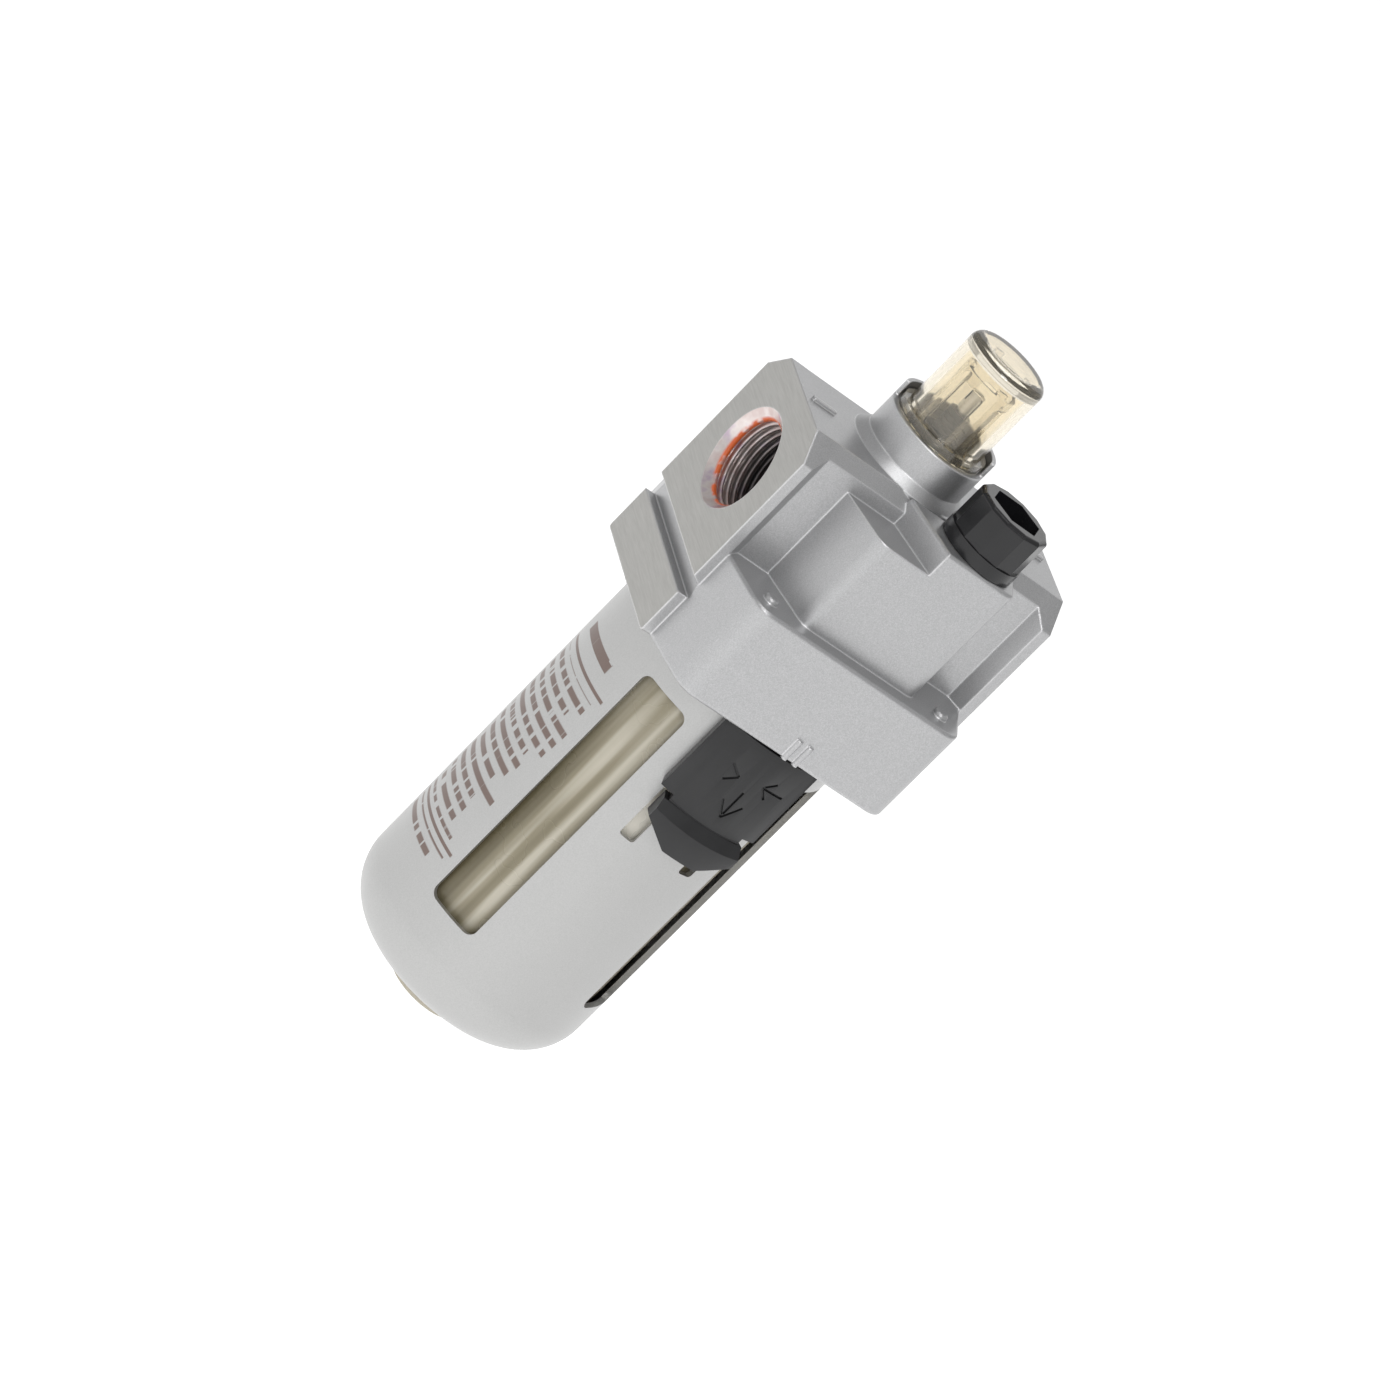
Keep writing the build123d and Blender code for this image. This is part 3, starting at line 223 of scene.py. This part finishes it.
def cast_head():
    """Silver paint over a casting, with milled port faces, bare threaded bores and a painted highlight
    along the rounded edges.
    """
    s = Shader("silver_cast_head", (0.52, 0.52, 0.53), 0.34, PAINT_METALLIC)
    x, y, z = s.axis("X"), s.axis("Y"), s.axis("Z")
    reach = s.math("ABSOLUTE", x)
    face = s.step(reach, PORT_FACE - 0.04)
    within_mouth = s.opposite(s.step(s.distance(y, z), PORT_MOUTH, 0.03))
    inside = s.times(within_mouth, s.step(reach, PORT_END, 0.05))
    machined = s.math("MAXIMUM", face, inside)
    speckle = s.noise(0.16)
    paint = s.ramp(speckle, [
        (0.25, (0.39, 0.391, 0.396)),
        (0.5, (0.46, 0.461, 0.466)),
        (0.8, (0.57, 0.57, 0.58)),
    ])
    milling = s.noise(0.22, stretch=(1.0, 0.06, 1.0))
    milled = s.ramp(milling, [(0.3, (0.35, 0.345, 0.33)), (0.7, (0.40, 0.395, 0.38))])
    bore, sealant = port_bore(s, x, reach)
    color = s.mix(machined, paint, s.mix(inside, milled, bore))
    # Painted highlight: the rounded edges found by the bevel shading are mixed towards near white,
    # except inside the bores.
    edge_highlight_mask = s.times(s.step(s.soft_edges(0.45), 0.05, 0.045), s.opposite(inside), 0.7)
    s.put("Base Color", s.mix(edge_highlight_mask, color, EDGE_HIGHLIGHT_PAINT))
    bare = s.opposite(s.times(sealant, inside))
    s.put("Metallic", s.times(s.vary(machined, 0.2, PAINT_METALLIC), bare))
    s.put("Roughness", s.vary(s.noise(9.0, 2.0), 0.08, 0.32))
    s.bump(s.times(speckle, s.opposite(machined)), 0.012, 0.6)
    s.bump(s.times(milling, machined), 0.004, 0.5)
    return s.material


# ---------------------------------------------------------------- guard and its printed panel
GUARD_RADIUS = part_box("bowl_guard")[1].x / MM
GUARD_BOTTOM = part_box("bowl_guard")[0].z / MM
GUARD_METALLIC = 0.75
PANEL_FIRST, PANEL_LAST = -112.0, -62.5        # angles where the panel starts and ends
HEADING_FIRST, HEADING_LAST = -104.0, -72.0
RULE_HIGH, RULE_LOW = -42.3, -77.7             # heights of the two rules
RULE_HALF = 0.3
HEADING_LOW, HEADING_HIGH = RULE_HIGH + 3.0, RULE_HIGH + 4.9
ROWS_LOW, ROWS_HIGH = RULE_LOW + 1.2, RULE_HIGH - 1.6
FOOT_LOW, FOOT_HIGH = RULE_LOW - 4.4, RULE_LOW - 1.2
ROW_PITCH = 2.35
BAR_LOW, BAR_HIGH = 0.26, 0.74                 # where the bar lies in its row, in pitches
RAGGED_ANGLE = 14.0                            # how much earlier than others a row can end
BAR_ANGLE = 4.2                                # cell of the pattern that breaks the bars
ROW_SHIFT = 7.3                                # moves that pattern on from row to row
PRINT_BROWN = (0.13, 0.07, 0.05)
PRINT_COVER = 0.85


def printed_panel(s, angle, z):
    """Mask of two thin rules, a heading and rows of plain bars, with no lettering."""
    rules = s.math(
        "ADD",
        s.between(z, RULE_HIGH - RULE_HALF, RULE_HIGH + RULE_HALF, 0.05),
        s.between(z, RULE_LOW - RULE_HALF, RULE_LOW + RULE_HALF, 0.05),
    )
    pitches = s.math("DIVIDE", z, ROW_PITCH)
    row = s.math("FLOOR", pitches)
    bar = s.between(s.math("FRACT", pitches), BAR_LOW, BAR_HIGH, 0.05)
    rows = s.math(
        "ADD",
        s.between(z, ROWS_LOW, ROWS_HIGH, 0.05),
        s.between(z, FOOT_LOW, FOOT_HIGH, 0.05),
    )
    row_noise = s.tree.nodes.new("ShaderNodeTexWhiteNoise")
    row_noise.noise_dimensions = "1D"
    s.link(row, row_noise.inputs["W"])
    row_end = s.vary(row_noise.outputs["Value"], -RAGGED_ANGLE, PANEL_LAST - 1.0)
    before_end = s.math("LESS_THAN", angle, row_end)
    cell = s.tree.nodes.new("ShaderNodeCombineXYZ")
    s.link(s.math("DIVIDE", angle, BAR_ANGLE), cell.inputs[0])
    s.link(s.math("MULTIPLY", row, ROW_SHIFT), cell.inputs[1])
    breaks = s.tree.nodes.new("ShaderNodeTexNoise")
    breaks.noise_dimensions = "2D"
    breaks.inputs["Scale"].default_value = 1.0
    breaks.inputs["Detail"].default_value = 1.0
    s.link(cell.outputs[0], breaks.inputs["Vector"])
    bars = s.times(bar, rows, s.step(breaks.outputs["Fac"], 0.40), before_end)
    heading = s.times(
        s.between(z, HEADING_LOW, HEADING_HIGH, 0.06),
        s.between(angle, HEADING_FIRST, HEADING_LAST, 0.3),
        s.step(breaks.outputs["Fac"], 0.36),
    )
    drawn = s.math("MAXIMUM", s.math("MAXIMUM", rules, bars), heading)
    return s.times(drawn, s.between(angle, PANEL_FIRST, PANEL_LAST, 0.3))


def guard_paint():
    """Satin silver paint, with the printed panel on the outside of the guard."""
    s = Shader("satin_silver_guard", (0.56, 0.56, 0.56), 0.34, GUARD_METALLIC)
    x, y, z = s.axis("X"), s.axis("Y"), s.axis("Z")
    angle = s.times(s.math("ARCTAN2", x, s.times(y, -1.0)), 180.0 / pi)
    outside = s.step(s.distance(x, y), GUARD_RADIUS - 0.1, 0.03)
    fine = s.noise(0.2, 2.0)
    paint = s.ramp(fine, [(0.3, (0.44, 0.44, 0.435)), (0.7, (0.49, 0.49, 0.485))])
    ink = s.times(printed_panel(s, angle, z), outside, PRINT_COVER)
    s.put("Base Color", s.mix(ink, paint, PRINT_BROWN))
    s.put("Metallic", s.vary(ink, -GUARD_METALLIC, GUARD_METALLIC))
    s.put("Roughness", s.vary(s.noise(7.0, 2.0), 0.06, 0.33))
    s.bump(fine, 0.008, 0.5)
    return s.material


# ---------------------------------------------------------------- other materials
NUB_TOP = GUARD_BOTTOM + 1.1                   # the cream nub of the bowl starts here
PALE_LEFT, PALE_RIGHT = -8.8, -2.6             # pale stretch of the wall beside the button, partly the bowl's own cream and partly painted light
PALE_LOW, PALE_HIGH = -57.0, -29.0
PALE_FRONT = 17.0                              # it lies further forward than this


def clear_plastic(name, color, roughness):
    s = Shader(name, color, roughness, Transmission_Weight=0.95, IOR=1.58)
    flow = s.noise(5.0, 2.0, (1.0, 1.0, 0.25))
    darker = tuple(c * 0.92 for c in color)
    s.put("Base Color", s.ramp(flow, [(0.35, darker), (0.65, color)]))
    return s.material


def cloudy_bowl():
    """Translucent olive bowl: walls streaked lengthwise in lighter and darker tones, a cream nub, and a
    near-white stretch beside the button that is partly painted light.
    """
    s = Shader("olive_polycarbonate", (0.30, 0.27, 0.19), 0.24, Transmission_Weight=0.15, IOR=1.5)
    x, y, z = s.axis("X"), s.axis("Y"), s.axis("Z")
    streaks = s.noise(2.6, 2.0, (1.0, 1.0, 0.035))
    drift = s.noise(14.0, 1.0, (1.0, 1.0, 0.4))
    tone = s.math("ADD", s.times(streaks, 0.65), s.times(drift, 0.35))
    wall = s.ramp(tone, [
        (0.36, (0.17, 0.145, 0.085)),
        (0.5, (0.30, 0.265, 0.18)),
        (0.63, (0.60, 0.56, 0.46)),
    ])
    nub = s.opposite(s.step(z, NUB_TOP, 0.2))
    # Partly painted light: the stretch beside the button is the bowl's own cream, made near white,
    # brighter than the nub, to make up for the shade in the narrow slot of the guard.
    slot_cream_and_light = s.times(
        s.between(x, PALE_LEFT, PALE_RIGHT, 0.3),
        s.step(s.times(y, -1.0), PALE_FRONT, 0.5),
        s.between(z, PALE_LOW, PALE_HIGH, 0.8),
    )
    s.put("Base Color", s.mix(slot_cream_and_light, s.mix(nub, wall, (0.62, 0.57, 0.46)), (0.97, 0.93, 0.82)))
    s.put("Roughness", s.vary(s.noise(6.0, 2.0), 0.12, 0.2))
    return s.material


def moulded(name, color, roughness):
    """Plastic or rubber from a mould, with a fine grain."""
    s = Shader(name, color, roughness)
    lighter = tuple(c * 1.15 + 0.002 for c in color)
    s.put("Base Color", s.ramp(s.noise(3.0), [(0.3, color), (0.7, lighter)]))
    s.put("Roughness", s.vary(s.noise(3.0, 2.0), 0.12, roughness - 0.06))
    s.bump(s.noise(0.25), 0.004, 0.5)
    return s.material


def turned_metal(name, color, roughness):
    """Bright metal with the fine rings of a lathe round the Z axis."""
    s = Shader(name, color, roughness, 1.0)
    rings = s.noise(0.15, 2.0, (0.1, 0.1, 1.0))
    darker = tuple(c * 0.82 for c in color)
    s.put("Base Color", s.ramp(rings, [(0.3, darker), (0.7, color)]))
    s.bump(rings, 0.004, 0.6)
    return s.material


looks = {
    "cast_head": cast_head(),
    "guard_steel": guard_paint(),
    "amber_clear": clear_plastic("amber_polycarbonate", (1.0, 0.93, 0.78), 0.03),
    "bowl_clear": cloudy_bowl(),
    "cup_clear": clear_plastic("clear_polycarbonate", (1.0, 0.97, 0.90), 0.05),
    "black_gloss": moulded("black_gloss_plastic", (0.008, 0.008, 0.009), 0.22),
    "black_satin": moulded("black_satin_plastic", (0.012, 0.012, 0.013), 0.40),
    "black_rubber": moulded("black_nitrile", (0.014, 0.014, 0.015), 0.5),
    "brass": turned_metal("turned_brass", (0.78, 0.60, 0.32), 0.3),
    "steel": turned_metal("bright_steel", (0.66, 0.66, 0.67), 0.28),
    "dark_plastic": moulded("dark_grey_plastic", (0.05, 0.05, 0.055), 0.35),
    "white_nylon": moulded("natural_nylon", (0.78, 0.76, 0.69), 0.4),
}

for part in frame["record"]["subparts"]:
    mesh = nodes[part["node"]].data
    mesh.materials.clear()
    mesh.materials.append(looks[part["material_slot"]])


# ---------------------------------------------------------------- lock button
BUTTON_FACE = 25.0                 # radius of its outer face
TAB_FACE = 26.8                    # radius of the outer face of its thumb tab
# engraved guide marks, each a stroke between two places given as (angle, height)
BUTTON_MARKS = [
    ((1.9, -41.1), (-2.6, -38.2)),
    ((1.9, -41.1), (6.2, -37.9)),
    ((1.7, -40.4), (1.7, -35.6)),
    ((-9.5, -32.4), (-4.2, -33.9)),
    ((-4.2, -33.9), (-8.4, -35.6)),
    ((6.0, -33.2), (16.5, -33.4)),
    ((6.0, -33.2), (10.2, -31.6)),
    ((6.0, -33.2), (10.2, -35.0)),
]
MARK_WIDTH, MARK_DEPTH = 0.42, 0.35
LEDGE_TOP, LEDGE_FOOT = -43.7, -46.9           # the slanted top of the tab falls between these
LEDGE_DIP = 0.6                                # how much higher the slant is at its two ends
LEDGE_HALF_ANGLE = 24.0
LEDGE_STEPS = 32
BUTTON_SOFT = 0.25                             # width of its rounded edges


def on_cylinder(angle, radius, height):
    return Vector((radius * sin(radians(angle)), -radius * cos(radians(angle)), height)) * MM


def add_solid(mesh, rings):
    """Skin a chain of equal rings of points and cap its two ends."""
    made = [[mesh.verts.new(point) for point in ring] for ring in rings]
    count = len(made[0])
    for first, second in zip(made, made[1:]):
        for i in range(count):
            j = (i + 1) % count
            mesh.faces.new((first[i], first[j], second[j], second[i]))
    mesh.faces.new(list(reversed(made[0])))
    mesh.faces.new(made[-1])


def cutter_object(name, rings_list):
    mesh = bmesh.new()
    for rings in rings_list:
        add_solid(mesh, rings)
    bmesh.ops.recalc_face_normals(mesh, faces=mesh.faces)
    data = bpy.data.meshes.new(name)
    mesh.to_mesh(data)
    mesh.free()
    cutter = bpy.data.objects.new(name, data)
    bpy.context.scene.collection.objects.link(cutter)
    return cutter


def mark_rings(first, last):
    """Bar that cuts one stroke into the face of the button."""
    start = on_cylinder(first[0], BUTTON_FACE, first[1])
    end = on_cylinder(last[0], BUTTON_FACE, last[1])
    outward = Vector((start.x + end.x, start.y + end.y, 0)).normalized()
    side = (end - start).cross(outward).normalized() * MARK_WIDTH / 2 * MM
    rings = []
    for point in (start, end):
        inner = point - outward * MARK_DEPTH * MM
        outer = point + outward * 2 * MARK_DEPTH * MM
        rings.append([inner - side, inner + side, outer + side, outer - side])
    return rings


def ledge_rings():
    """Wedge that slants the top of the thumb tab down towards its outer face."""
    beyond = TAB_FACE + 1.0
    profile = [(BUTTON_FACE - 0.05, LEDGE_TOP), (beyond, LEDGE_TOP), (beyond, LEDGE_FOOT)]
    rings = []
    for step in range(LEDGE_STEPS + 1):
        angle = LEDGE_HALF_ANGLE * (2 * step / LEDGE_STEPS - 1)
        dip = LEDGE_DIP * (angle / LEDGE_HALF_ANGLE) ** 2
        rings.append([on_cylinder(angle, radius, height + dip) for radius, height in profile])
    return rings


def detailed_button():
    """The lock button with its guide marks, a slanted tab and rounded edges."""
    button = bpy.data.objects.new("lock_button_detail", nodes["lock_button"].data.copy())
    bpy.context.scene.collection.objects.link(button)
    cutters = [
        cutter_object("mark_cutter", [mark_rings(*mark) for mark in BUTTON_MARKS]),
        cutter_object("ledge_cutter", [ledge_rings()]),
    ]
    for cutter in cutters:
        cut = button.modifiers.new(cutter.name, "BOOLEAN")
        cut.object = cutter
        cut.operation = "DIFFERENCE"
        cut.solver = "EXACT"
        cut.use_self = True
    soften = button.modifiers.new("soften", "BEVEL")
    soften.width = BUTTON_SOFT * MM
    soften.segments = 3
    soften.limit_method = "ANGLE"
    soften.angle_limit = radians(35)
    graph = bpy.context.evaluated_depsgraph_get()
    finished = bpy.data.meshes.new_from_object(button.evaluated_get(graph))
    button.modifiers.clear()
    button.data = finished
    for cutter in cutters:
        bpy.data.objects.remove(cutter)
    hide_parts("lock_button")
    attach(button, "button")


def flexing_spring():
    """A copy of the spring of the button, attached to the bowl assembly with a mesh of its own."""
    spring = bpy.data.objects.new("lock_spring_coil", nodes["lock_spring"].data.copy())
    bpy.context.scene.collection.objects.link(spring)
    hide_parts("lock_spring")
    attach(spring, "bowl_assembly")
    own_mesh(spring)


detailed_button()
flexing_spring()

# ---------------------------------------------------------------- stage and lights, in metres
FLOOR_DROP = 0.15
FLOOR_SIZE = 30.0
WHITE = (1.0, 1.0, 1.0, 1.0)
ROOM_STRENGTH = 0.42
FLOOR_STRENGTH = 0.62


def studio():
    """A soft white room and a pale floor that glows a little, well below the bowl."""
    world = bpy.data.worlds.new("soft_white_room")
    bpy.context.scene.world = world
    world.use_nodes = True
    background = world.node_tree.nodes["Background"]
    background.inputs["Color"].default_value = WHITE
    background.inputs["Strength"].default_value = ROOM_STRENGTH
    floor_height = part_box("bowl")[0].z - FLOOR_DROP
    bpy.ops.mesh.primitive_plane_add(size=FLOOR_SIZE, location=(0.0, 0.0, floor_height))
    floor = bpy.context.object
    floor.name = "pale_floor"
    paper = Shader(
        "pale_paper",
        (0.90, 0.90, 0.90),
        0.9,
        Emission_Color=WHITE,
        Emission_Strength=FLOOR_STRENGTH,
    )
    paper.bump(paper.noise(4.0), 0.05, 0.1)
    floor.data.materials.append(paper.material)


def area_light(name, place, target, size, power):
    light = bpy.data.lights.new(name, "AREA")
    light.shape = "RECTANGLE"
    light.size, light.size_y = size
    light.energy = power
    holder = bpy.data.objects.new(name, light)
    holder.location = place
    holder.rotation_euler = (Vector(target) - Vector(place)).to_track_quat("-Z", "Y").to_euler()
    bpy.context.scene.collection.objects.link(holder)


# ---------------------------------------------------------------- camera
VIEW_AZIMUTH = radians(31.35)      # the camera stands this far to the left of the front
VIEW_ELEVATION = radians(19.0)
VIEW_ROLL = radians(44.8)          # the object lies diagonally in the picture
VIEW_DISTANCE = 0.938              # in metres
VIEW_LENS = 158.3                  # focal length for a sensor of SENSOR_WIDTH
SENSOR_WIDTH = 36.0
VIEW_TARGET = Vector((-8.45, -8.21, -33.16)) * MM


def photo_camera():
    across = cos(VIEW_ELEVATION)
    forward = Vector(
        (sin(VIEW_AZIMUTH) * across, cos(VIEW_AZIMUTH) * across, -sin(VIEW_ELEVATION))
    )
    level_right = forward.cross(Vector((0, 0, 1))).normalized()
    level_up = level_right.cross(forward)
    right = cos(VIEW_ROLL) * level_right + sin(VIEW_ROLL) * level_up
    up = cos(VIEW_ROLL) * level_up - sin(VIEW_ROLL) * level_right
    data = bpy.data.cameras.new("photo_camera")
    data.lens = VIEW_LENS
    data.sensor_width = SENSOR_WIDTH
    data.clip_start = 0.01
    data.clip_end = 20.0
    camera = bpy.data.objects.new("photo_camera", data)
    turn = Matrix((right, up, -forward)).transposed().to_4x4()
    camera.matrix_world = Matrix.Translation(VIEW_TARGET - VIEW_DISTANCE * forward) @ turn
    bpy.context.scene.collection.objects.link(camera)
    bpy.context.scene.camera = camera


studio()
photo_camera()
area_light("key_light", (-0.25, -0.85, 0.42), (0, 0, -0.03), (0.35, 0.35), 2.6)
area_light("top_light", (-0.15, -0.25, 0.85), (0, 0, 0), (0.45, 0.45), 1.9)
area_light("back_light", (0.50, 0.80, 0.42), (0, 0, 0), (1.1, 0.8), 1.3)
area_light("left_light", (-0.8, -0.1, 0.25), (0, 0, -0.03), (0.3, 0.3), 0.35)
bpy.context.scene.view_settings.view_transform = "Standard"
